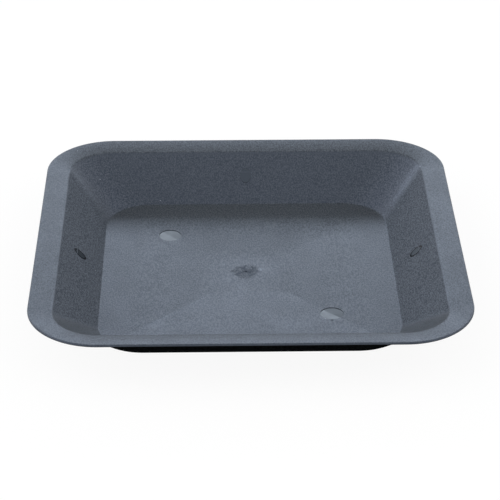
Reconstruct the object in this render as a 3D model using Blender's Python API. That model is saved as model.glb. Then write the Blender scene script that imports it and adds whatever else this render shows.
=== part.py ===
"""A square, flared ward dish: one injection moulding of grey polypropylene.

The shell is a loft. Its loops are rounded squares that follow the dish's section from the
middle of the floor up the wall, out along the rim, round the free edge and back underneath.
The floor falls a little inside to a flat square in the middle; its underside is flat.
Metres, +Z up, origin in the middle of the face that the dish stands on.
"""

import math

import bmesh
import bpy
from mathutils import Vector

# Plan of the rim
OUTER_SIZE = 0.220
OUTER_CORNER_RADIUS = 0.036
RIM_WIDTH = 0.012
RIM_RISE = 0.0018

# Wall and floor
WALL_THICKNESS = 0.0014
DEPTH = 0.0222
WALL_RUN = 0.021
FLOOR_CORNER_RADIUS = 0.0245
RIM_BEND = 0.0008
FLOOR_BEND = 0.0010
FOOT_BEND = 0.0080
EDGE_ROUND = 0.0005

# Hipped floor: four shallow slopes that fall to a flat square in the middle
FLOOR_THICKNESS = 0.0020
FLOOR_FALL = 0.0010
PLATEAU_SIZE = 0.037
CORNER_BAND = 0.0010

# Ejector pins: two sink into the floor's hips, four end half-way up the walls. A wall pin's
# end leans back, so it stands proud at its lower edge and is sunk at its upper edge; the proud
# pad stays a hair under the sunk face, so that the two never share a plane.
FLOOR_PIN_DIAMETER = 0.012
FLOOR_PIN_PLACE = 0.042
FLOOR_PIN_DEPTH = 0.00025
WALL_PIN_DIAMETER = 0.006
WALL_PIN_SHARE = 0.54
WALL_PIN_LIFT = 0.00012
WALL_PIN_LEAN = 0.07
WALL_PIN_PAD_GAP = 0.00002

# Gate: the tapered pit where the plastic came in
GATE_X = -0.0012
GATE_Y = 0.0026
GATE_PIT_DIAMETER = 0.0016
GATE_PIT_BOTTOM_DIAMETER = 0.0008
GATE_PIT_DEPTH = 0.0004

# Fineness of the facets; the corner steps are even so that a point falls on each diagonal
CORNER_STEPS = 14
BEND_STEPS = 6
PIN_SIDES = 40
GATE_SIDES = 24

# Surface
COLOUR = (0.070, 0.082, 0.100, 1.0)
ROUGHNESS = 0.5

# Derived places
HALF = OUTER_SIZE / 2
RIM_INNER_HALF = HALF - RIM_WIDTH
FLOOR_HALF = RIM_INNER_HALF - WALL_RUN
FLOOR_Z = FLOOR_THICKNESS
PLATEAU_Z = FLOOR_Z - FLOOR_FALL
RIM_INNER_Z = FLOOR_Z + DEPTH
RIM_TOP_Z = RIM_INNER_Z + RIM_RISE
RIM_INNER_RADIUS = OUTER_CORNER_RADIUS - RIM_WIDTH
PLATEAU_HALF = PLATEAU_SIZE / 2
SLOPE_HALF = FLOOR_HALF - FLOOR_CORNER_RADIUS * (1 - math.sqrt(0.5)) - CORNER_BAND
WALL_PIN_PLACE = FLOOR_HALF + WALL_PIN_SHARE * WALL_RUN
ROOT = WALL_THICKNESS / 2


def clear_scene():
    """Remove every object of the scene."""
    for item in list(bpy.data.objects):
        bpy.data.objects.remove(item, do_unlink=True)


def corner_radius(half):
    """Corner radius of the loop with this half-width: a parallel rim, then an even blend."""
    if half >= RIM_INNER_HALF:
        return RIM_INNER_RADIUS + half - RIM_INNER_HALF
    share = (RIM_INNER_HALF - half) / WALL_RUN
    return RIM_INNER_RADIUS + share * (FLOOR_CORNER_RADIUS - RIM_INNER_RADIUS)


def rounded_square(half, z):
    """Points of a rounded square, anticlockwise, with an arc of equal steps at each corner."""
    radius = corner_radius(half)
    centre = half - radius
    points = []
    for corner, (side_x, side_y) in enumerate(((1, 1), (-1, 1), (-1, -1), (1, -1))):
        for step in range(CORNER_STEPS + 1):
            angle = (corner + step / CORNER_STEPS) * math.pi / 2
            x = side_x * centre + radius * math.cos(angle)
            y = side_y * centre + radius * math.sin(angle)
            points.append(Vector((x, y, z)))
    return points


def sharp_square(loop, half, z):
    """The points of a loop drawn along their own rays to a square with sharp corners."""
    points = []
    for point in loop:
        reach = half / max(abs(point.x), abs(point.y))
        points.append(Vector((point.x * reach, point.y * reach, z)))
    return points


def underneath(before, corner, after, first_thickness, second_thickness):
    """The section's corner moved through the plastic, each line's own thickness square to it."""
    first = (corner - before).normalized()
    second = (after - corner).normalized()
    first_down = Vector((first.y, -first.x))
    second_down = Vector((second.y, -second.x))
    fold = first_down.dot(second_down)
    first_move = first_down * (first_thickness - fold * second_thickness)
    second_move = second_down * (second_thickness - fold * first_thickness)
    return corner + (first_move + second_move) / (1 - fold * fold)


def bend(before, corner, after, radius):
    """Points of the arc that rounds one corner of the section with this radius."""
    to_before = (before - corner).normalized()
    to_after = (after - corner).normalized()
    half_angle = to_before.angle(to_after) / 2
    centre = corner + (to_before + to_after).normalized() * (radius / math.sin(half_angle))
    start = corner + to_before * (radius / math.tan(half_angle)) - centre
    end = corner + to_after * (radius / math.tan(half_angle)) - centre
    turn = start.angle(end)
    points = []
    for step in range(BEND_STEPS + 1):
        share = step / BEND_STEPS
        blend = start * math.sin((1 - share) * turn) + end * math.sin(share * turn)
        points.append(centre + blend / math.sin(turn))
    return points


def section():
    """The section from the floor's edge over the rim to the foot's edge, as (half-width, z)."""
    floor_start = Vector((SLOPE_HALF, FLOOR_Z))
    floor_edge = Vector((FLOOR_HALF, FLOOR_Z))
    rim_inner = Vector((RIM_INNER_HALF, RIM_INNER_Z))
    rim_edge = Vector((HALF, RIM_TOP_Z))
    edge_height = WALL_THICKNESS * math.hypot(RIM_WIDTH, RIM_RISE) / RIM_WIDTH
    rim_edge_under = Vector((HALF, RIM_TOP_Z - edge_height))
    rim_inner_under = underneath(floor_edge, rim_inner, rim_edge, WALL_THICKNESS, WALL_THICKNESS)
    foot_edge = underneath(floor_start, floor_edge, rim_inner, FLOOR_THICKNESS, WALL_THICKNESS)
    foot_start = Vector((SLOPE_HALF, 0.0))
    line = (
        (floor_start, 0.0),
        (floor_edge, FLOOR_BEND),
        (rim_inner, RIM_BEND + WALL_THICKNESS),
        (rim_edge, EDGE_ROUND),
        (rim_edge_under, EDGE_ROUND),
        (rim_inner_under, RIM_BEND),
        (foot_edge, FOOT_BEND),
        (foot_start, 0.0),
    )
    points = []
    for before, here, after in zip(line, line[1:], line[2:]):
        points.extend(bend(before[0], here[0], after[0], here[1]))
    return points


def shell_loops():
    """Every loop of the shell, from the middle of the floor round to the middle underneath."""
    loops = [rounded_square(point.x, point.y) for point in section()]
    inside = [
        sharp_square(loops[0], PLATEAU_HALF, PLATEAU_Z),
        sharp_square(loops[0], SLOPE_HALF, FLOOR_Z),
    ]
    below = [sharp_square(loops[-1], SLOPE_HALF, 0.0)]
    return inside + loops + below


def inner_z(x, y):
    """Height of the inner face on the floor or on the straight part of a wall."""
    reach = max(abs(x), abs(y))
    if reach > FLOOR_HALF:
        return FLOOR_Z + DEPTH * (reach - FLOOR_HALF) / WALL_RUN
    share = (SLOPE_HALF - reach) / (SLOPE_HALF - PLATEAU_HALF)
    return FLOOR_Z - FLOOR_FALL * min(max(share, 0.0), 1.0)


def lofted(name, loops, first_middle, last_middle, flat_bands):
    """A closed body through loops of equal count, with a fan of faces at each end.

    The flat bands are the numbers of the bands, counted from the first loop, that keep
    flat shading; both fans are flat too.
    """
    mesh = bmesh.new()
    rings = [[mesh.verts.new(point) for point in loop] for loop in loops]
    first = mesh.verts.new(first_middle)
    last = mesh.verts.new(last_middle)
    count = len(rings[0])
    for band, (ring, following) in enumerate(zip(rings, rings[1:])):
        for here in range(count):
            there = (here + 1) % count
            face = mesh.faces.new((ring[here], ring[there], following[there], following[here]))
            face.smooth = band not in flat_bands
    for here in range(count):
        there = (here + 1) % count
        mesh.faces.new((first, rings[0][there], rings[0][here]))
        mesh.faces.new((last, rings[-1][here], rings[-1][there]))
    bmesh.ops.recalc_face_normals(mesh, faces=mesh.faces)
    data = bpy.data.meshes.new(name)
    mesh.to_mesh(data)
    mesh.free()
    body = bpy.data.objects.new(name, data)
    bpy.context.scene.collection.objects.link(body)
    return body


def ring_points(x, y, diameter, sides):
    """Points of a circle in plan, with one on the diagonal where the sides allow it."""
    points = []
    for side in range(sides):
        angle = 2 * math.pi * side / sides
        points.append((x + diameter / 2 * math.cos(angle), y + diameter / 2 * math.sin(angle)))
    return points


def pin(name, x, y, diameter, low, high):
    """An upright pin between two heights over the inner face.

    Each height comes with a lean: the metres that the end falls behind the face for each
    metre out from the pin's axis towards the rim.
    """
    ends = []
    reach = max(abs(x), abs(y))
    for height, lean in (low, high):
        points = []
        for px, py in ring_points(x, y, diameter, PIN_SIDES) + [(x, y)]:
            out = max(abs(px), abs(py)) - reach
            points.append(Vector((px, py, inner_z(px, py) + height - lean * out)))
        ends.append(points)
    return lofted(name, [end[:-1] for end in ends], ends[0][-1], ends[1][-1], ())


def cone(name, x, y, lower, upper):
    """An upright cone's slice, given the diameter and the height of its lower and upper end."""
    loops = []
    for diameter, z in (lower, upper):
        loops.append([Vector((px, py, z)) for px, py in ring_points(x, y, diameter, GATE_SIDES)])
    return lofted(name, loops, Vector((x, y, lower[1])), Vector((x, y, upper[1])), ())


def combine(body, tool, operation):
    """Add or take away a tool with an exact Boolean, and hide the tool."""
    modifier = body.modifiers.new(tool.name, "BOOLEAN")
    modifier.operation = operation
    modifier.solver = "EXACT"
    modifier.object = tool
    tool.hide_render = True
    tool.display_type = "WIRE"


def add_pins(dish):
    """Sink the floor pins on one diagonal and set the wall pins' ends in the four walls."""
    for number, side in enumerate((-1, 1), start=1):
        place = side * FLOOR_PIN_PLACE
        end = (-FLOOR_PIN_DEPTH, 0.0)
        sunk = pin(f"floor_pin_{number}", place, -place, FLOOR_PIN_DIAMETER, end, (ROOT, 0.0))
        combine(dish, sunk, "DIFFERENCE")
    lean = WALL_PIN_LEAN * DEPTH / WALL_RUN
    sunk_end = (WALL_PIN_LIFT, lean)
    pad_end = (WALL_PIN_LIFT - WALL_PIN_PAD_GAP, lean)
    for number, (side_x, side_y) in enumerate(((1, 0), (0, 1), (-1, 0), (0, -1)), start=1):
        x = side_x * WALL_PIN_PLACE
        y = side_y * WALL_PIN_PLACE
        above = (WALL_THICKNESS, 0.0)
        sunk = pin(f"wall_pin_{number}_cut", x, y, WALL_PIN_DIAMETER, sunk_end, above)
        combine(dish, sunk, "DIFFERENCE")
        proud = pin(f"wall_pin_{number}_pad", x, y, WALL_PIN_DIAMETER, (-ROOT, 0.0), pad_end)
        combine(dish, proud, "UNION")


def add_gate(dish):
    """Sink the gate's pit; the cutter keeps its taper as far above the floor as it goes below."""
    flare = GATE_PIT_DIAMETER - GATE_PIT_BOTTOM_DIAMETER
    lower = (GATE_PIT_BOTTOM_DIAMETER, PLATEAU_Z - GATE_PIT_DEPTH)
    upper = (GATE_PIT_DIAMETER + flare, PLATEAU_Z + GATE_PIT_DEPTH)
    combine(dish, cone("gate_pit", GATE_X, GATE_Y, lower, upper), "DIFFERENCE")


def plastic():
    """Grained grey polypropylene."""
    material = bpy.data.materials.new("grained grey polypropylene")
    material.use_nodes = True
    shader = material.node_tree.nodes["Principled BSDF"]
    shader.inputs["Base Color"].default_value = COLOUR
    shader.inputs["Roughness"].default_value = ROUGHNESS
    shader.inputs["Metallic"].default_value = 0.0
    return material


def build():
    """Build the dish."""
    clear_scene()
    loops = shell_loops()
    bands = len(loops) - 1
    flat_bands = (0, 1, bands - 1)
    inside_middle = Vector((0.0, 0.0, PLATEAU_Z))
    below_middle = Vector((0.0, 0.0, 0.0))
    dish = lofted("dish", loops, inside_middle, below_middle, flat_bands)
    dish.data.materials.append(plastic())
    add_pins(dish)
    add_gate(dish)


build()
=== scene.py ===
"""Looks of a square ward dish, one moulding of grained grey polypropylene, on a pale studio floor."""

import logging
import math
from collections.abc import Sequence
from dataclasses import dataclass, field
from enum import Enum

import bpy
import numpy as np
from mathutils import Matrix, Vector


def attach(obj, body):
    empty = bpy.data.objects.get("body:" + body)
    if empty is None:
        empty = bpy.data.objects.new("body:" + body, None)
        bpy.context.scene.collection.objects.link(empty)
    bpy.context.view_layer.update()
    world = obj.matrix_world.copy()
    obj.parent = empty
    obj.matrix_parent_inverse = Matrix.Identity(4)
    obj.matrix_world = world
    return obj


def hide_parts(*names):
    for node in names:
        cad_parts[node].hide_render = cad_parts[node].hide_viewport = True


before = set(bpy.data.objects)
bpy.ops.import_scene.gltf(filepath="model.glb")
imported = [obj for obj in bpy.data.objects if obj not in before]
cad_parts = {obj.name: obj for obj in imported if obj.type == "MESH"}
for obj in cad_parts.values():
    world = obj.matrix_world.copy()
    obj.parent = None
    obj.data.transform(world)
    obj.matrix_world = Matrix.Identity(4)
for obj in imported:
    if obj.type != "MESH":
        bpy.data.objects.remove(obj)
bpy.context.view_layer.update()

LOG = logging.getLogger("dish")
MM = 0.001
GATE_PLACE_MM = (-1.2, 2.6)
PLASTIC_IOR = 1.49
# A noise pattern stays mostly between these two values.
NOISE_SPAN = (0.3, 0.7)
# A map range with this setting eases in and out.
EASE = {"interpolation_type": "SMOOTHSTEP"}

Array = np.ndarray
Tree = bpy.types.NodeTree
Socket = bpy.types.NodeSocket
Outputs = bpy.types.bpy_prop_collection
Material = bpy.types.Material
Input = float | Sequence[float] | Socket
Inputs = dict[str | int, Input] | tuple[Input, ...]
Colour = tuple[float, float, float, float]
Span = tuple[float, float]


class Mark(Enum):
    """How an ejector pin left its end in the plastic."""

    SUNK = "DIFFERENCE"
    RAISED = "UNION"


def linear(code: str) -> Colour:
    """Turn an sRGB hex colour into linear red, green, blue and alpha.

    Args:
        code: six hex digits.

    Returns:
        The linear colour with an alpha of 1.
    """
    parts = np.array([int(code[i:i + 2], 16) for i in (0, 2, 4)]) / 255
    low, high = parts / 12.92, ((parts + 0.055) / 1.055) ** 2.4
    return (*np.where(parts <= 0.04045, low, high).tolist(), 1.0)


def wire(tree: Tree, node: bpy.types.Node, inputs: Inputs) -> None:
    """Set or link a node's inputs.

    Args:
        tree: the node tree.
        node: the node.
        inputs: values, or the output sockets that feed them, in order or by socket name or number.
    """
    pairs = inputs.items() if isinstance(inputs, dict) else enumerate(inputs)
    for name, value in pairs:
        if isinstance(value, Socket):
            tree.links.new(value, node.inputs[name])
        else:
            node.inputs[name].default_value = value


def add_node(tree: Tree, kind: str, inputs: Inputs = (), **settings: object) -> Outputs:
    """Add a node with its settings, and set or link its inputs.

    Args:
        tree: the node tree.
        kind: the node's type name, without the words that all of them start with.
        inputs: what wire() takes.
        settings: the node's own properties.

    Returns:
        The new node's outputs.
    """
    node = tree.nodes.new(f"ShaderNode{kind}")
    for name, value in settings.items():
        setattr(node, name, value)
    wire(tree, node, inputs)
    return node.outputs


def plan_reach(tree: Tree, place: Socket, middle_mm: Span) -> Socket:
    """Distance in plan from a point, in metres.

    Args:
        tree: the node tree.
        place: the coordinates, in metres.
        middle_mm: the point.

    Returns:
        The distance's socket.
    """
    plan = add_node(tree, "VectorMath", (place, (1, 1, 0)), operation="MULTIPLY")[0]
    point = (middle_mm[0] * MM, middle_mm[1] * MM, 0)
    return add_node(tree, "VectorMath", (plan, point), operation="DISTANCE")["Value"]


def round_spot(tree: Tree, place: Socket, middle_mm: Span, radius_mm: float,
               full: float = 0.5, most: float = 1.0) -> Socket:
    """Share of a spot, round in plan, that fades out towards its radius.

    Args:
        tree: the node tree.
        place: the coordinates, in metres.
        middle_mm: the spot's middle.
        radius_mm: its radius.
        full: the part of the radius within which it doesn't fade.
        most: the share within that part.

    Returns:
        The share's socket.
    """
    reach = plan_reach(tree, place, middle_mm)
    return add_node(tree, "MapRange", (reach, radius_mm * MM, full * radius_mm * MM, 0.0, most), **EASE)[0]


def new_material(name: str) -> tuple[Material, Tree, bpy.types.Node]:
    """Start a node material.

    Args:
        name: the material's name.

    Returns:
        The material, its node tree and its shader.
    """
    material = bpy.data.materials.new(name)
    material.use_nodes = True
    return material, material.node_tree, material.node_tree.nodes["Principled BSDF"]


def loft_object(name: str, rings: Array, flat: Array) -> bpy.types.Object:
    """Skin a closed body over rings of points, with a pole at the middle of the first and the last.

    Point (t, s) is ring t's point s; quads join each ring to the next all the way round, and
    a fan of triangles closes each end.

    Args:
        name: the object's name.
        rings: points in millimetres, shape (rings, points round, 3).
        flat: for each band between rings, whether its faces are flat and keep sharp folds.

    Returns:
        The object, in metres at the origin.
    """
    count, around = rings.shape[:2]
    poles = rings[[0, -1]].mean(axis=1)
    points = np.concatenate([rings.reshape(-1, 3), poles]) * MM
    number = np.arange(count * around).reshape(count, around)
    ahead = np.roll(number, -1, axis=1)
    quads = np.stack([number[:-1], ahead[:-1], ahead[1:], number[1:]], axis=-1).reshape(-1, 4)
    first = np.stack([np.full(around, count * around), ahead[0], number[0]], axis=-1)
    last = np.stack([np.full(around, count * around + 1), number[-1], ahead[-1]], axis=-1)
    corners = np.concatenate([quads.ravel(), first.ravel(), last.ravel()]).astype(np.int32)
    totals = np.concatenate([np.full(len(quads), 4), np.full(2 * around, 3)]).astype(np.int32)
    smooth = np.concatenate([np.repeat(~flat, around), np.zeros(2 * around, bool)])

    mesh = bpy.data.meshes.new(name)
    mesh.vertices.add(len(points))
    mesh.loops.add(len(corners))
    mesh.polygons.add(len(totals))
    mesh.vertices.foreach_set("co", points.ravel())
    mesh.loops.foreach_set("vertex_index", corners)
    mesh.polygons.foreach_set("loop_start", np.cumsum(totals, dtype=np.int32) - totals)
    mesh.polygons.foreach_set("loop_total", totals)
    mesh.polygons.foreach_set("use_smooth", smooth)
    mesh.update(calc_edges=True)
    mesh.validate()
    body = bpy.data.objects.new(name, mesh)
    bpy.context.scene.collection.objects.link(body)
    return body


@dataclass(frozen=True)
class GateMark:
    """The look of the torn, dull patch round the gate, its pale halo and the glossy fleck beside it, whose
    pale tone is a painted highlight.

    The patch's edge wanders by the ragged length. Inside it the plastic is torn bit by bit,
    and a least share of the tear is everywhere.
    """

    radius_mm: float = 6.4
    ragged_mm: float = 11.0
    ragged_blob_mm: float = 3.4
    edge_soft_mm: float = 0.7
    bit_mm: float = 2.3
    bit_span: Span = (0.48, 0.58)
    bit_least: float = 0.25
    halo_mm: float = 24.0
    pit_mm: float = 1.2
    fleck_mm: Span = (6.8, 4.8)
    fleck_radius_mm: float = 2.2

    def shares(self, tree: Tree, place: Socket) -> dict[str, Socket]:
        """How far each part of the mark is present, from 0 to 1.

        Args:
            tree: the node tree.
            place: the coordinates, in metres.

        Returns:
            Sockets for the torn patch, the halo, the pit and the fleck.
        """
        ragged = add_node(tree, "TexNoise", {
            "Vector": place, "Scale": 1 / (self.ragged_blob_mm * MM), "Detail": 4.0, "Roughness": 0.65})[0]
        reach = plan_reach(tree, place, GATE_PLACE_MM)
        wander = add_node(tree, "Math", (ragged, self.ragged_mm * MM, reach), operation="MULTIPLY_ADD")[0]
        edge, soft = (self.radius_mm + self.ragged_mm / 2) * MM, self.edge_soft_mm * MM
        torn = add_node(tree, "MapRange", (wander, edge + soft, edge - soft), **EASE)[0]
        bits = add_node(tree, "TexNoise", {
            "Vector": place, "Scale": 1 / (self.bit_mm * MM), "Detail": 3.0, "Roughness": 0.7})[0]
        bits = add_node(tree, "MapRange", (bits, *self.bit_span, self.bit_least, 1.0), **EASE)[0]
        return {
            "torn": add_node(tree, "Math", (torn, bits), operation="MULTIPLY")[0],
            "halo": round_spot(tree, place, GATE_PLACE_MM, self.halo_mm),
            "pit": round_spot(tree, place, GATE_PLACE_MM, self.pit_mm),
            # The fleck is a glossy spot whose pale tone is a painted highlight.
            "fleck_glint": round_spot(tree, place, self.fleck_mm, self.fleck_radius_mm, full=0.0),
        }


@dataclass(frozen=True)
class GrainedPolypropylene:
    """Grey polypropylene moulded against a spark-eroded steel face.

    The eroded grain leaves a fine even speckle and a dull, wide sheen that grows towards
    grazing sight; a few pale specks of dust lie on it, and the gate's patch is torn and dull.
    """

    # The speckle runs from the base tone in its hollows to the pale tone on its tops; it is partly the
    # plastic's own uneven tone and partly painted shade and sheen of the grain's relief.
    base: str = "272B2D"
    pale: str = "50555A"
    torn: str = "343A41"
    # The pit's near-black tone is painted shade in the gate's hollow; the nick is a small spot painted in the
    # same tone.
    pit: str = "050607"
    # The fleck's pale tone is a painted highlight on a glossy spot.
    fleck_glint: str = "5C636A"
    dust: str = "8C939B"
    # The outer faces' two tones are painted shade, almost black.
    outside: str = "131516"
    outside_pale: str = "26292B"
    # A cool sheen makes the faces that mirror the lamp look bluer than the rest.
    sheen: str = "BACEFF"
    shine: float = 0.6
    # The inner faces' roughness, how far it drifts, and its value where the surface differs.
    roughness: float = 0.35
    drift: float = 0.025
    side_roughness: float = 0.7
    torn_roughness: float = 0.6
    outside_roughness: float = 0.7
    # What a mark takes off the roughness, or adds to it.
    line_gloss: float = 0.06
    halo_gloss: float = 0.035
    fleck_gloss: float = 0.08
    nick_dulling: float = 0.5
    slope_gloss: Span = (0.021, 0.022)
    # How strongly the grain shows on the back, front and side walls, and what the floor adds to that
    # and the rim takes off.
    wall_speckle: Span = (0.7, 1.35)
    floor_speckle: float = 0.6
    rim_calm: float = 0.35
    # The parts of the dish, told apart by how their faces point and how high they lie.
    level_facing: Span = (0.72, 0.95)
    side_facing: Span = (0.58, 0.73)
    outside_facing: Span = (-0.1, -0.4)
    rim_height_mm: Span = (22.0, 24.0)
    floor_height_mm: Span = (2.3, 2.1)
    plateau_mm: float = 18.5
    hip_mm: float = 0.5
    hip_soft_mm: float = 0.3
    side_soft_mm: float = 1.0
    grain_mm: float = 0.65
    grain_stretch: tuple[float, float, float] = (1.0, 0.5, 1.0)
    grain_depth_mm: float = 0.1
    grain_relief: float = 0.7
    torn_relief: float = 2.0
    outside_grain_mm: float = 1.3
    outside_span: Span = (0.35, 0.65)
    mottle_mm: float = 14.0
    nick_mm: Span = (41.9, -48.8)
    nick_radius_mm: float = 0.85
    nick_share: float = 0.9
    dust_gap_mm: float = 9.0
    dust_mm: float = 0.35

    def marks(self, tree: Tree, place: Socket, normal: Socket) -> dict[str, Socket]:
        """Where each thing that changes the plain plastic is present, from 0 to 1.

        Args:
            tree: the node tree.
            place: the coordinates, in metres.
            normal: the way that the face points.

        Returns:
            Sockets for the gate's marks, the dust, the nick, the side walls and the outer faces, and
            for what the floor adds to the speckle.
        """
        facing = add_node(tree, "SeparateXYZ", (normal,))
        sideways = add_node(tree, "Math", (facing["X"],), operation="ABSOLUTE")[0]
        gaps = {"Vector": place, "Scale": 1 / (self.dust_gap_mm * MM)}
        cells = add_node(tree, "TexVoronoi", gaps)["Distance"]
        speck = self.dust_mm / self.dust_gap_mm
        level = (facing["Z"], *self.level_facing, 0.0, self.floor_speckle)
        return {
            **GateMark().shares(tree, place),
            "dust": add_node(tree, "MapRange", (cells, speck, 0.5 * speck), **EASE)[0],
            "nick": round_spot(tree, place, self.nick_mm, self.nick_radius_mm, most=self.nick_share),
            "aside": add_node(tree, "MapRange", (sideways, *self.side_facing), **EASE)[0],
            "floor": add_node(tree, "MapRange", level, **EASE)[0],
            "outside": add_node(tree, "MapRange", (facing["Z"], *self.outside_facing), **EASE)[0],
        }

    def slopes(self, tree: Tree, place: Socket) -> tuple[Socket, Socket]:
        """How much duller the floor's back and front slopes are than its sides, and where they meet.

        The steel was eroded slope by slope, so the front slope is a little glossier and the
        back slope a little duller. A point is on the front slope where -y is more than |x|,
        on the back slope where y is, and on the flat square where neither is past its edge.

        Args:
            tree: the node tree.
            place: the coordinates, in metres.

        Returns:
            Sockets for what to add to the roughness, and for the thin line where two slopes meet.
        """
        part = add_node(tree, "SeparateXYZ", (place,))
        across = add_node(tree, "Math", (part["X"],), operation="ABSOLUTE")[0]
        along = add_node(tree, "Math", (part["Y"],), operation="ABSOLUTE")[0]
        square = add_node(tree, "Math", (across, self.plateau_mm * MM), operation="MAXIMUM")[0]
        past = add_node(tree, "Math", (along, square), operation="SUBTRACT")[0]
        soft, turn = self.hip_soft_mm * MM, self.side_soft_mm * MM
        slope = add_node(tree, "MapRange", (past, -soft, soft), **EASE)[0]
        front, back = self.slope_gloss
        side = add_node(tree, "MapRange", (part["Y"], -turn, turn, -front, back), **EASE)[0]
        high, low = self.floor_height_mm
        floor = add_node(tree, "MapRange", (part["Z"], high * MM, low * MM), **EASE)[0]
        apart = add_node(tree, "Math", (past,), operation="ABSOLUTE")[0]
        line = add_node(tree, "MapRange", (apart, self.hip_mm * MM, 0.0), **EASE)[0]
        dull = add_node(tree, "Math", (slope, side), operation="MULTIPLY")[0]
        dull = add_node(tree, "Math", (dull, floor), operation="MULTIPLY")[0]
        return dull, add_node(tree, "Math", (line, floor), operation="MULTIPLY")[0]

    def tint(self, tree: Tree, place: Socket, grain: Socket, marks: dict[str, Socket]) -> Socket:
        """Colour of the plastic.

        Args:
            tree: the node tree.
            place: the coordinates, in metres.
            grain: the grain's pattern.
            marks: what marks() returns.

        Returns:
            The colour's socket.
        """
        # The speckle is drawn stronger on the floor and the side walls than on the rim and the back and front
        # walls.
        tall = add_node(tree, "SeparateXYZ", (place,))["Z"]
        low, high = self.rim_height_mm
        calm = add_node(tree, "MapRange", (tall, low * MM, high * MM, 0.0, self.rim_calm), **EASE)[0]
        level = add_node(tree, "Math", (marks["floor"], calm), operation="SUBTRACT")[0]
        walls = add_node(tree, "MapRange", (marks["aside"], 0.0, 1.0, *self.wall_speckle), **EASE)[0]
        strength = add_node(tree, "Math", (level, walls), operation="ADD")[0]
        # The grain's tops get the pale tone and its hollows the base tone, partly as painted shade and sheen
        # of the relief.
        swing = add_node(tree, "MapRange", (grain, *NOISE_SPAN, -0.5, 0.5), **EASE)[0]
        speckle = add_node(tree, "Math", (swing, strength, 0.5), operation="MULTIPLY_ADD")[0]
        tones = {0: speckle, 6: linear(self.base), 7: linear(self.pale)}
        colour = add_node(tree, "Mix", tones, data_type="RGBA")[2]
        # The pit is painted near black, as painted shade in its hollow.
        for name, tone in (("torn", self.torn), ("pit", self.pit), ("fleck_glint", self.fleck_glint),
                           ("nick", self.pit), ("dust", self.dust)):
            colour = add_node(tree, "Mix", {0: marks[name], 6: colour, 7: linear(tone)}, data_type="RGBA")[2]
        # The outer faces point down; their coarser speckle is painted almost black, painted shade for the
        # deep shade under the rim.
        coarse = add_node(tree, "TexNoise", {
            "Vector": place, "Scale": 1 / (self.outside_grain_mm * MM), "Detail": 2.0, "Roughness": 0.6})[0]
        coarse = add_node(tree, "MapRange", (coarse, *self.outside_span), **EASE)[0]
        tones = {0: coarse, 6: linear(self.outside), 7: linear(self.outside_pale)}
        black = add_node(tree, "Mix", tones, data_type="RGBA")[2]
        return add_node(tree, "Mix", {0: marks["outside"], 6: colour, 7: black}, data_type="RGBA")[2]

    def dullness(self, tree: Tree, place: Socket, marks: dict[str, Socket]) -> Socket:
        """Roughness of the plastic.

        Args:
            tree: the node tree.
            place: the coordinates, in metres.
            marks: what marks() returns.

        Returns:
            The roughness's socket.
        """
        # Gloss drifts a little from place to place, as the grain is never quite even.
        mottle = add_node(tree, "TexNoise", {
            "Vector": place, "Scale": 1 / (self.mottle_mm * MM), "Detail": 3.0, "Roughness": 0.6})[0]
        least, most = self.roughness - self.drift, self.roughness + self.drift
        rough = add_node(tree, "MapRange", (mottle, *NOISE_SPAN, least, most), **EASE)[0]
        slope, line = self.slopes(tree, place)
        rough = add_node(tree, "Math", (rough, slope), operation="ADD")[0]
        for share, change in (
                (marks["aside"], self.side_roughness - self.roughness), (line, -self.line_gloss),
                (marks["halo"], -self.halo_gloss), (marks["torn"], self.torn_roughness - self.roughness),
                (marks["fleck_glint"], -self.fleck_gloss), (marks["nick"], self.nick_dulling),
                (marks["outside"], self.outside_roughness - self.roughness)):
            rough = add_node(tree, "Math", (share, change, rough), operation="MULTIPLY_ADD")[0]
        return rough

    def material(self) -> Material:
        """Build the node material.

        Returns:
            The material.
        """
        material, tree, shader = new_material("polypropylene moulded on eroded steel")
        coords = add_node(tree, "TexCoord")
        place = coords["Object"]
        # The real grain is about 0.15 mm; it is drawn at the size of a pixel, and twice as long from
        # front to back, where the floor is seen foreshortened, so that it shows.
        drawn = add_node(tree, "VectorMath", (place, self.grain_stretch), operation="MULTIPLY")[0]
        grain = add_node(tree, "TexNoise", {
            "Vector": drawn, "Scale": 1 / (self.grain_mm * MM), "Detail": 2.0, "Roughness": 0.6})[0]
        marks = self.marks(tree, place, coords["Normal"])
        # The grain and the tear break the sheen up into fine glints.
        height = add_node(tree, "Math", (marks["torn"], self.torn_relief, grain), operation="MULTIPLY_ADD")[0]
        bump = add_node(tree, "Bump", {
            "Height": height, "Strength": self.grain_relief, "Distance": self.grain_depth_mm * MM})["Normal"]
        # The outer faces get no sheen, so that they stay as dark as their painted shade.
        shine = add_node(tree, "MapRange", (marks["outside"], 0.0, 1.0, self.shine, 0.0), **EASE)[0]
        wire(tree, shader, {
            "Base Color": self.tint(tree, place, grain, marks),
            "Roughness": self.dullness(tree, place, marks),
            "Normal": bump,
            "IOR": PLASTIC_IOR,
            "Specular Tint": linear(self.sheen),
            "Specular IOR Level": shine})
        return material


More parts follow.
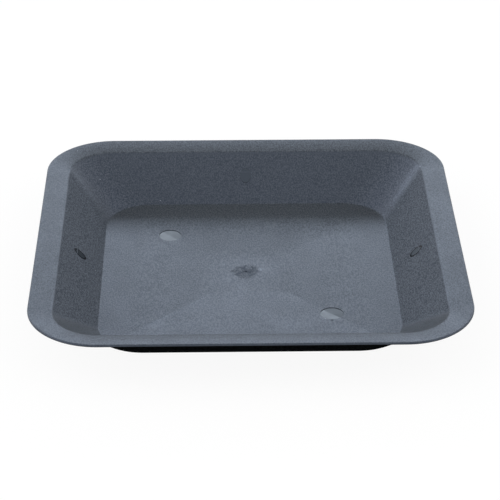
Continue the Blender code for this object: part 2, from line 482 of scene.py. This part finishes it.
@dataclass(frozen=True)
class PinPolish:
    """The same plastic where a ground pin end pressed it: no grain, so a clear shine."""

    tone: str
    edge: str | None
    sheen: str
    shine: float
    roughness: float
    middle_mm: Span
    radius_mm: float
    edge_mm: float = 0.9
    smear_mm: float = 3.0
    smear: float = 0.03

    def material(self) -> Material:
        """Build the node material.

        Returns:
            The material.
        """
        material, tree, shader = new_material("polypropylene moulded on ground pin")
        place = add_node(tree, "TexCoord")["Object"]
        colour: Colour | Socket = linear(self.tone)
        if self.edge:
            # A thin dark ring is painted just inside the edge of the pin's end.
            reach = plan_reach(tree, place, self.middle_mm)
            inner = (self.radius_mm - self.edge_mm) * MM
            rim = add_node(tree, "MapRange", (reach, inner, inner + 0.5 * self.edge_mm * MM), **EASE)[0]
            colour = add_node(tree, "Mix", {0: rim, 6: colour, 7: linear(self.edge)}, data_type="RGBA")[2]
        # Faint smears keep the shine from being quite even.
        smears = add_node(tree, "TexNoise", {
            "Vector": place, "Scale": 1 / (self.smear_mm * MM), "Detail": 2.0, "Roughness": 0.6})[0]
        least, most = self.roughness - self.smear, self.roughness + self.smear
        wire(tree, shader, {
            "Base Color": colour,
            "Roughness": add_node(tree, "MapRange", (smears, *NOISE_SPAN, least, most), **EASE)[0],
            "IOR": PLASTIC_IOR,
            "Specular Tint": linear(self.sheen),
            "Specular IOR Level": self.shine})
        return material


@dataclass(frozen=True)
class StepShade:
    """Painted shade in the small step round a pin's end: a dark colour on the step's side that draws it as a
    dark line.
    """

    tone: str = "282E35"
    plastic: str = "37414E"
    roughness: float = 0.8
    ior: float = 1.4
    blob_mm: float = 0.8
    thin_span: Span = (0.5, 0.8)
    thinnest: float = 0.5

    def material(self) -> Material:
        """Build the node material.

        Returns:
            The material.
        """
        material, tree, shader = new_material("painted shade in moulded step")
        place = add_node(tree, "TexCoord")["Object"]
        # The painted shade thins out in places, where the plastic shows a little.
        blobs = add_node(tree, "TexNoise", {
            "Vector": place, "Scale": 1 / (self.blob_mm * MM), "Detail": 2.0, "Roughness": 0.6})[0]
        thin = add_node(tree, "MapRange", (blobs, *self.thin_span, 0.0, self.thinnest), **EASE)[0]
        tones = {0: thin, 6: linear(self.tone), 7: linear(self.plastic)}
        wire(tree, shader, {
            "Base Color": add_node(tree, "Mix", tones, data_type="RGBA")[2],
            "Roughness": self.roughness,
            "IOR": self.ior})
        return material


@dataclass(frozen=True)
class GateRelief:
    """The shape of the pit and the torn face round the gate, in millimetres."""

    radius: float = 8.0
    pit_depth: float = 0.4
    pit_width: float = 0.7
    pit_rings: tuple[float, float, int] = (0.15, 1.0, 8)
    torn_rings: tuple[float, int] = (1.25, 26)
    torn_start: float = 0.6
    torn_rise: float = 1.2
    torn_end: float = 5.8
    torn_wander: float = 1.1
    torn_lobes: tuple[int, float] = (3, 0.6)
    torn_fade: float = 2.2
    ridge_height: float = 0.03
    # Each wave's strength, its crests round the gate, its turn for each millimetre out and its start.
    waves: tuple[tuple[float, int, float, float], ...] = (
        (1.0, 9, 2.1, 0.0), (0.8, 17, -1.7, 1.3), (0.6, 31, 3.3, 0.0))
    # One more wave runs outwards and is bent by a few slow turns round the gate.
    swirl: tuple[float, float, float, int] = (0.9, 4.1, 2.3, 5)

    def rings(self, square: Array, height: float) -> Array:
        """Rings round the gate, from its middle out to the mark's edge.

        The rings are circles whose points lie in the ways of the square's points. The face
        dips in a bell-shaped pit at the gate. Round it, it is torn into low ridges, a sum of
        sine waves of the angle and the distance, which die out at a wandering edge.

        Args:
            square: the flat square's edge, shape (points round, 3).
            height: the flat square's height.

        Returns:
            Points from the middle outwards, shape (rings, points round, 3).
        """
        first, count = self.torn_rings
        reach = np.concatenate([np.linspace(*self.pit_rings), np.linspace(first, self.radius, count)])
        angle = np.arctan2(square[:, 1], square[:, 0])
        way = np.stack([np.cos(angle), np.sin(angle)], axis=-1)
        plan = reach[:, None, None] * way[None] + np.array(GATE_PLACE_MM)
        r, a = reach[:, None], angle[None, :]
        pit = -self.pit_depth * np.exp(-(r / self.pit_width) ** 2)
        lobes, start = self.torn_lobes
        end = self.torn_end + self.torn_wander * np.sin(lobes * a + start)
        rise = np.clip((r - self.torn_start) / self.torn_rise, 0, 1)
        fade = np.clip((end - r) / self.torn_fade, 0, 1)
        strength, crests, turn, start = np.array(self.waves).T[:, :, None, None]
        ridges = (strength * np.sin(crests * a + turn * r + start)).sum(axis=0)
        strength, turn, bend, crests = self.swirl
        ridges = ridges + strength * np.sin(turn * r + bend * np.sin(crests * a))
        z = height + pit + rise * fade * self.ridge_height * ridges
        return np.concatenate([plan, z[..., None]], axis=2)


@dataclass(frozen=True)
class PinMark:
    """The way from the dish's middle to one ejector pin, in plan, and the look of its end."""

    name: str
    way: tuple[int, int]
    tone: str
    edge: str | None
    shine: float


FLOOR_PINS = (
    PinMark("floor_pin_1", (-1, 1), "40474F", None, 0.27),
    PinMark("floor_pin_2", (1, -1), "40474F", None, 0.34),
)
# The left pin's end is painted darker than the others, a painted reflection of the dark that its polished
# face mirrors.
WALL_PINS = (
    PinMark("wall_pin", (1, 0), "3E454D", "0D1013", 0.12),
    PinMark("wall_pin", (0, 1), "3C4043", None, 0.6),
    PinMark("wall_pin", (-1, 0), "282E34", "16191E", 0.12),
    PinMark("wall_pin", (0, -1), "3C4043", None, 0.6),
)


@dataclass
class Dish:
    """The moulding: a lofted shell with sunk and raised pin marks and a gate mark, in millimetres."""

    outer_size: float = 220.0
    outer_corner: float = 36.0
    rim_width: float = 12.0
    rim_rise: float = 1.8
    wall: float = 1.4
    depth: float = 22.2
    wall_run: float = 21.0
    floor_corner: float = 24.5
    rim_bend: float = 0.8
    floor_bend: float = 1.0
    foot_bend: float = 8.0
    edge_round: float = 0.5
    floor_thickness: float = 2.0
    floor_fall: float = 1.0
    plateau_size: float = 37.0
    corner_band: float = 1.0
    floor_pin_diameter: float = 12.0
    floor_pin_place: float = 42.0
    floor_pin_depth: float = 0.25
    floor_pin_sheen: str = "DEE8FF"
    floor_pin_roughness: float = 0.14
    wall_pin_diameter: float = 6.0
    wall_pin_share: float = 0.54
    wall_pin_lift: float = 0.12
    wall_pin_pad_gap: float = 0.02
    wall_pin_lean: float = 0.07
    wall_pin_sheen: str = "B3CFFF"
    wall_pin_roughness: float = 0.15
    corner_steps: int = 48
    side_steps: int = 15
    bend_steps: int = 6
    slope_rings: int = 7
    # A pin's points are turned by a part of a step, so that none falls on the shell's own edges.
    pin_steps: int = 96
    pin_turn: float = 0.37
    pin_rings: tuple[float, float, float] = (0.02, 0.5, 1.0)
    fold_degrees: float = 28.0
    half: float = field(init=False)
    rim_inner_half: float = field(init=False)
    floor_half: float = field(init=False)
    plateau_z: float = field(init=False)
    rim_inner_z: float = field(init=False)
    rim_top_z: float = field(init=False)
    rim_inner_radius: float = field(init=False)
    plateau_half: float = field(init=False)
    slope_half: float = field(init=False)
    wall_pin_place: float = field(init=False)

    def __post_init__(self) -> None:
        """Work out the places that follow from the sizes."""
        self.half = self.outer_size / 2
        self.rim_inner_half = self.half - self.rim_width
        self.floor_half = self.rim_inner_half - self.wall_run
        self.plateau_z = self.floor_thickness - self.floor_fall
        self.rim_inner_z = self.floor_thickness + self.depth
        self.rim_top_z = self.rim_inner_z + self.rim_rise
        self.rim_inner_radius = self.outer_corner - self.rim_width
        self.plateau_half = self.plateau_size / 2
        lost = self.floor_corner * (1 - math.sqrt(0.5))
        self.slope_half = self.floor_half - lost - self.corner_band
        self.wall_pin_place = self.floor_half + self.wall_pin_share * self.wall_run

    def inner_z(self, plan: Array) -> Array:
        """Height of the inner face on the floor or on the straight part of a wall.

        The reach is the larger of |x| and |y|. The floor falls evenly from its edge to the
        plateau in the middle; beyond the floor's edge the wall rises evenly to the rim.

        Args:
            plan: x and y, shape (..., 2).

        Returns:
            The heights, shape (...).
        """
        reach = np.abs(plan).max(axis=-1)
        share = (self.slope_half - reach) / (self.slope_half - self.plateau_half)
        floor = self.floor_thickness - self.floor_fall * np.clip(share, 0.0, 1.0)
        slope = self.floor_thickness + self.depth * (reach - self.floor_half) / self.wall_run
        return np.where(reach > self.floor_half, slope, floor)

    def section(self) -> Array:
        """The section from the floor's edge over the rim to the foot's edge.

        Its corners are the straight lines' meeting points, moved each line's own thickness
        square to it for the underside, and each is rounded by an arc that touches both lines.

        Returns:
            Half-width and height, shape (points, 2).
        """
        above = np.array([
            (self.slope_half, self.floor_thickness), (self.floor_half, self.floor_thickness),
            (self.rim_inner_half, self.rim_inner_z), (self.half, self.rim_top_z)])
        along = np.diff(above, axis=0)
        along /= np.linalg.norm(along, axis=1, keepdims=True)
        down = np.stack([along[:, 1], -along[:, 0]], axis=1)
        thick = np.array([self.floor_thickness, self.wall, self.wall])[:, None]
        fold = (down[:-1] * down[1:]).sum(axis=1, keepdims=True)
        first_move = down[:-1] * (thick[:-1] - fold * thick[1:])
        second_move = down[1:] * (thick[1:] - fold * thick[:-1])
        below = above[1:3] + (first_move + second_move) / (1 - fold ** 2)
        edge = (self.half, self.rim_top_z - self.wall / along[2, 0])
        line = np.array([*above, edge, below[1], below[0], (self.slope_half, 0.0)])
        radii = np.array([
            self.floor_bend, self.rim_bend + self.wall, self.edge_round,
            self.edge_round, self.rim_bend, self.foot_bend])
        back = line[:-2] - line[1:-1]
        on = line[2:] - line[1:-1]
        back /= np.linalg.norm(back, axis=1, keepdims=True)
        on /= np.linalg.norm(on, axis=1, keepdims=True)
        half_angle = np.arccos(np.clip((back * on).sum(axis=1), -1, 1)) / 2
        middle = (back + on) / np.linalg.norm(back + on, axis=1, keepdims=True)
        centre = line[1:-1] + middle * (radii / np.sin(half_angle))[:, None]
        touch = (radii / np.tan(half_angle))[:, None]
        start = line[1:-1] + back * touch - centre
        end = line[1:-1] + on * touch - centre
        turn = (math.pi - 2 * half_angle)[:, None, None]
        share = np.linspace(0, 1, self.bend_steps + 1)[None, :, None]
        arcs = start[:, None] * np.sin((1 - share) * turn) + end[:, None] * np.sin(share * turn)
        return (centre[:, None] + arcs / np.sin(turn)).reshape(-1, 2)

    def corner_radius(self, half: Array) -> Array:
        """Corner radius at each half-width: parallel on the rim, then an even blend down the wall.

        Args:
            half: the half-widths.

        Returns:
            The radii.
        """
        share = (self.rim_inner_half - half) / self.wall_run
        wall = self.rim_inner_radius + share * (self.floor_corner - self.rim_inner_radius)
        rim = self.rim_inner_radius + half - self.rim_inner_half
        return np.where(half >= self.rim_inner_half, rim, wall)

    def rounded_squares(self, half: Array, height: Array) -> Array:
        """Rings of points round rounded squares: an arc at each corner and a straight run after it.

        Args:
            half: each ring's half-width.
            height: each ring's height.

        Returns:
            Points, shape (rings, points round, 3).
        """
        radius = self.corner_radius(half)[:, None, None]
        angle = (np.arange(4)[:, None] + np.linspace(0, 1, self.corner_steps + 1)[None]) * math.pi / 2
        side = np.array([(1, 1), (-1, 1), (-1, -1), (1, -1)], float)
        centre = (half[:, None, None] - radius)
        x = centre * side[None, :, :1] + radius * np.cos(angle)[None]
        y = centre * side[None, :, 1:] + radius * np.sin(angle)[None]
        arcs = np.stack([x, y], axis=-1)
        share = np.linspace(0, 1, self.side_steps + 1)[1:-1][None, None, :, None]
        starts = arcs[:, :, -1:, :]
        ends = np.roll(arcs[:, :, :1, :], -1, axis=1)
        runs = starts * (1 - share) + ends * share
        plan = np.concatenate([arcs, runs], axis=2).reshape(len(half), -1, 2)
        tall = np.broadcast_to(height[:, None, None], (*plan.shape[:2], 1))
        return np.concatenate([plan, tall], axis=2)

    def squares(self, ring: Array, half: Array, height: Array) -> Array:
        """Rings of points on sharp squares, each on the ray of the given ring's point.

        Args:
            ring: the ring whose rays are kept, shape (points round, 3).
            half: each square's half-width.
            height: each square's height.

        Returns:
            Points, shape (squares, points round, 3).
        """
        plan = ring[None, :, :2] / np.abs(ring[None, :, :2]).max(axis=2, keepdims=True)
        plan = plan * half[:, None, None]
        tall = np.broadcast_to(height[:, None, None], (*plan.shape[:2], 1))
        return np.concatenate([plan, tall], axis=2)

    def rings(self) -> tuple[Array, Array]:
        """All rings of the shell from the gate round to the middle of the underside.

        Returns:
            The points, and for each band whether it keeps sharp folds.
        """
        line = self.section()
        skin = self.rounded_squares(line[:, 0], line[:, 1])
        share = np.linspace(0, 1, self.slope_rings)
        half = self.plateau_half + share * (self.slope_half - self.plateau_half)
        inside = self.squares(skin[0], half, self.plateau_z + self.floor_fall * share)
        # Underneath, the squares start inside the foot's rounded corners, so that no face folds over.
        foot_corner = np.abs(skin[-1, :, :2]).min(axis=1).max() - self.corner_band
        foot = self.plateau_half + share[::-1] * (foot_corner - self.plateau_half)
        below = self.squares(skin[-1], foot, np.zeros(len(foot)))
        gate = GateRelief().rings(inside[0], self.plateau_z)
        rings = np.concatenate([gate, inside, skin, below])
        band = np.arange(len(rings) - 1)
        first, last = len(gate) - 1, len(gate) + len(inside)
        flat = ((band >= first) & (band < last)) | (band >= len(rings) - len(below) - 1)
        return rings, flat

    def pin(self, name: str, place: Span, diameter: float, low: Span, high: Span,
            finishes: tuple[Material, Material]) -> bpy.types.Object:
        """An upright round pin whose ends follow the inner face and whose side carries painted shade.

        Each end has a height over the face and a lean: how far it falls behind the face for
        each millimetre out from the pin's axis towards the rim.

        Args:
            name: the pin's name.
            place: its place in plan.
            diameter: its diameter.
            low: its lower end's height and lean.
            high: its upper end's height and lean.
            finishes: the finishes of its ends and of its side.

        Returns:
            The pin as an object.
        """
        angle = (np.arange(self.pin_steps) + self.pin_turn) * 2 * math.pi / self.pin_steps
        reach = np.array(self.pin_rings)[:, None] * diameter / 2
        plan = np.stack([place[0] + reach * np.cos(angle), place[1] + reach * np.sin(angle)], axis=-1)
        face = self.inner_z(plan)
        out = np.abs(plan).max(axis=-1) - np.abs(place).max()
        bottom, top = (np.dstack([plan, face + height - lean * out]) for height, lean in (low, high))
        rings = np.concatenate([bottom, top[::-1]])
        tool = loft_object(name, rings, np.ones(len(rings) - 1, bool))
        side = np.zeros(len(tool.data.polygons), np.int32)
        first = (len(bottom) - 1) * len(angle)
        side[first:first + len(angle)] = 1
        for finish in finishes:
            tool.data.materials.append(finish)
        tool.data.polygons.foreach_set("material_index", side)
        return tool

    def mark(self, body: bpy.types.Object, tool: bpy.types.Object, how: Mark) -> None:
        """Sink or raise a pin's end in the body, and remove the pin.

        Args:
            body: the shell.
            tool: the pin.
            how: sunk or raised.
        """
        modifier = body.modifiers.new(tool.name, "BOOLEAN")
        modifier.operation = how.value
        modifier.solver = "EXACT"
        modifier.material_mode = "TRANSFER"
        modifier.object = tool
        graph = bpy.context.evaluated_depsgraph_get()
        mesh = bpy.data.meshes.new_from_object(body.evaluated_get(graph))
        body.modifiers.clear()
        body.data = mesh
        bpy.data.objects.remove(tool, do_unlink=True)

    def dress(self, body: bpy.types.Object) -> None:
        """Give the shell its finish and press the pins' marks into it.

        A floor pin's end is sunk. A wall pin's end leans, so it is first cut where it is sunk
        and then filled where it is raised; the fill stays a hair under the cut.

        Args:
            body: the shell.
        """
        body.data.materials.append(GrainedPolypropylene().material())
        # The pins' sides paint shade into the steps round their ends.
        step_shade = StepShade().material()
        root = self.wall / 2
        for pin in FLOOR_PINS:
            place = (pin.way[0] * self.floor_pin_place, pin.way[1] * self.floor_pin_place)
            polish = PinPolish(pin.tone, pin.edge, self.floor_pin_sheen, pin.shine, self.floor_pin_roughness,
                               place, self.floor_pin_diameter / 2).material()
            low, high = (-self.floor_pin_depth, 0.0), (root, 0.0)
            tool = self.pin(pin.name, place, self.floor_pin_diameter, low, high, (polish, step_shade))
            self.mark(body, tool, Mark.SUNK)
        lean = self.wall_pin_lean * self.depth / self.wall_run
        sunk = ((self.wall_pin_lift, lean), (self.wall, 0.0))
        raised = ((-root, 0.0), (self.wall_pin_lift - self.wall_pin_pad_gap, lean))
        for pin in WALL_PINS:
            place = (pin.way[0] * self.wall_pin_place, pin.way[1] * self.wall_pin_place)
            polish = PinPolish(pin.tone, pin.edge, self.wall_pin_sheen, pin.shine, self.wall_pin_roughness,
                               place, self.wall_pin_diameter / 2).material()
            for how, (low, high) in ((Mark.SUNK, sunk), (Mark.RAISED, raised)):
                tool = self.pin(pin.name, place, self.wall_pin_diameter, low, high, (polish, step_shade))
                self.mark(body, tool, how)

    def build(self) -> bpy.types.Object:
        """Build the shell with all its marks and finishes.

        Returns:
            The dish as one piece.
        """
        rings, flat = self.rings()
        body = loft_object("dish_moulding", rings, flat)
        self.dress(body)
        body.data.set_sharp_from_angle(angle=math.radians(self.fold_degrees))
        body.name = body.data.name = "dish_moulding"
        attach(body, "root")
        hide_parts("dish")
        return body


@dataclass
class Studio:
    """The floor, the lights and the camera; lengths in metres, the camera's angles in radians."""

    pitch: float = 0.5115
    yaw: float = 0.0193
    roll: float = -0.0014
    focal_px: float = 2066.64
    distance: float = 4.9169 * 0.220
    shift_px: Span = (-1.649, -17.435)
    frame_px: float = 500.0
    sensor_mm: float = 36.0
    clip_end: float = 50.0
    floor_side: float = 6.0
    floor_gap: float = 0.00002
    floor_wash: float = 0.92
    paper_seen: str = "FFFFFF"
    paper_bounce: str = "404040"
    # The room's light falls off towards the dark way, from the first level to the second.
    dark_way: tuple[float, float, float] = (0.2, 0.88, 0.43)
    room_colour: str = "FFFFFF"
    room_span: Span = (0.25, 0.95)
    room_level: Span = (0.75, 0.3)
    window_span: Span = (0.32, 0.85)
    window_level: Span = (1.4, 1.08)
    # The lamp's turn, roll, lower and upper edge and half-width are in degrees, seen from the dish.
    lamp_distance: float = 4.0
    lamp_turn: float = -4.0
    lamp_roll: float = 4.0
    lamp_rise: Span = (20.5, 31.7)
    lamp_half_width: float = 34.0
    lamp_level: float = 3.85
    lamp_colour: str = "ECF7FF"

    def camera(self, aim: Vector) -> None:
        """Place the camera so that the aim point falls at its place in the photograph.

        Args:
            aim: the middle of the rim's top.
        """
        level, rise = math.cos(self.pitch), math.sin(self.pitch)
        ahead = Vector((math.sin(self.yaw) * level, math.cos(self.yaw) * level, -rise))
        right = Vector((math.cos(self.yaw), -math.sin(self.yaw), 0.0))
        down = ahead.cross(right)
        turned = right * math.cos(self.roll) + down * math.sin(self.roll)
        fall = down * math.cos(self.roll) - right * math.sin(self.roll)
        across, lower = (shift / self.focal_px * self.distance for shift in self.shift_px)
        data = bpy.data.cameras.new("camera")
        data.sensor_width = self.sensor_mm
        data.lens = self.focal_px / self.frame_px * self.sensor_mm
        data.clip_end = self.clip_end
        view = bpy.data.objects.new("camera", data)
        place = aim - turned * across - fall * lower - ahead * self.distance
        turn = Matrix((turned, -fall, -ahead)).transposed().to_4x4()
        view.matrix_world = Matrix.Translation(place) @ turn
        bpy.context.scene.collection.objects.link(view)
        bpy.context.scene.camera = view

    def floor(self) -> None:
        """Lay a pale floor that the camera sees as white and that keeps the dish's shadow."""
        side, low = self.floor_side / 2, -self.floor_gap
        corners = [(-side, -side, low), (side, -side, low), (side, side, low), (-side, side, low)]
        mesh = bpy.data.meshes.new("studio_floor")
        mesh.from_pydata(corners, [], [(0, 1, 2, 3)])
        plane = bpy.data.objects.new("studio_floor", mesh)
        bpy.context.scene.collection.objects.link(plane)
        material = bpy.data.materials.new("pale studio paper")
        material.use_nodes = True
        tree = material.node_tree
        tree.nodes.clear()
        path = add_node(tree, "LightPath")
        mirrored = (path["Is Glossy Ray"], path["Is Transmission Ray"])
        shine = add_node(tree, "Math", mirrored, operation="MAXIMUM")[0]
        seen = add_node(tree, "Math", (path["Is Camera Ray"], shine), operation="MAXIMUM")[0]
        # The paper throws little light back up, so the outside stays nearly black under the rim.
        tones = {0: seen, 6: linear(self.paper_bounce), 7: linear(self.paper_seen)}
        colour = add_node(tree, "Mix", tones, data_type="RGBA")[2]
        paper = add_node(tree, "BsdfDiffuse", {"Color": colour})[0]
        white = add_node(tree, "Emission", {"Color": linear(self.paper_seen), "Strength": 1.0})[0]
        # The paper is mostly washed out to white, which leaves the shadow faint.
        share = add_node(tree, "Math", (seen, self.floor_wash), operation="MULTIPLY")[0]
        mix = add_node(tree, "MixShader", (share, paper, white))[0]
        add_node(tree, "OutputMaterial", (mix,))
        mesh.materials.append(material)

    def lamp(self) -> None:
        """Stand one wide soft lamp behind the dish, low enough to be mirrored in its floor."""
        low, high = (math.radians(angle) for angle in self.lamp_rise)
        turn, rise = math.radians(self.lamp_turn), (low + high) / 2
        way = Vector((math.sin(turn) * math.cos(rise), math.cos(turn) * math.cos(rise), math.sin(rise)))
        data = bpy.data.lights.new("back softbox", "AREA")
        data.shape = "RECTANGLE"
        data.color = linear(self.lamp_colour)[:3]
        data.size = 2 * self.lamp_distance * math.tan(math.radians(self.lamp_half_width))
        data.size_y = 2 * self.lamp_distance * math.tan((high - low) / 2)
        # A flat lamp of this power shines at the level, where 1 is as bright as white paper.
        data.energy = self.lamp_level * math.pi * data.size * data.size_y
        lamp = bpy.data.objects.new("back softbox", data)
        place = Matrix.Translation(way * self.lamp_distance)
        lean = Matrix.Rotation(math.radians(self.lamp_roll), 4, "Z")
        lamp.matrix_world = place @ (-way).to_track_quat("-Z", "Y").to_matrix().to_4x4() @ lean
        bpy.context.scene.collection.objects.link(lamp)

    def world(self) -> None:
        """Fill the room with soft light, darkest round the lamp, and set a window on each side."""
        world = bpy.data.worlds.new("studio")
        world.use_nodes = True
        tree = world.node_tree
        tree.nodes.clear()
        way = add_node(tree, "TexCoord")["Generated"]
        dark = add_node(tree, "VectorMath", (way, self.dark_way), operation="DOT_PRODUCT")["Value"]
        room = add_node(tree, "MapRange", (dark, *self.room_span, *self.room_level), **EASE)[0]
        # The windows draw the light streaks in the back corners; the left one is the brighter.
        near, far = self.window_span
        side = add_node(tree, "SeparateXYZ", (way,))["X"]
        left = add_node(tree, "MapRange", (side, -near, -far, 0.0, self.window_level[0]), **EASE)[0]
        right = add_node(tree, "MapRange", (side, near, far, 0.0, self.window_level[1]), **EASE)[0]
        windows = add_node(tree, "Math", (left, right), operation="ADD")[0]
        level = add_node(tree, "Math", (room, windows), operation="ADD")[0]
        back = add_node(tree, "Background", {"Color": linear(self.room_colour), "Strength": level})[0]
        add_node(tree, "OutputWorld", (back,))
        bpy.context.scene.world = world

    def build(self, top: float) -> None:
        """Set up the whole studio.

        Args:
            top: the height of the rim's top, which the camera aims at.
        """
        bpy.context.scene.view_settings.view_transform = "Standard"
        self.floor()
        self.world()
        self.lamp()
        self.camera(Vector((0.0, 0.0, top)))


def main() -> None:
    """Build the dish and the studio."""
    logging.basicConfig(level=logging.INFO, format="%(name)s: %(message)s")
    dish = Dish()
    body = dish.build()
    LOG.info("%s: %d faces", body.name, len(body.data.polygons))
    Studio().build(dish.rim_top_z * MM)


if __name__ == "__main__":
    main()
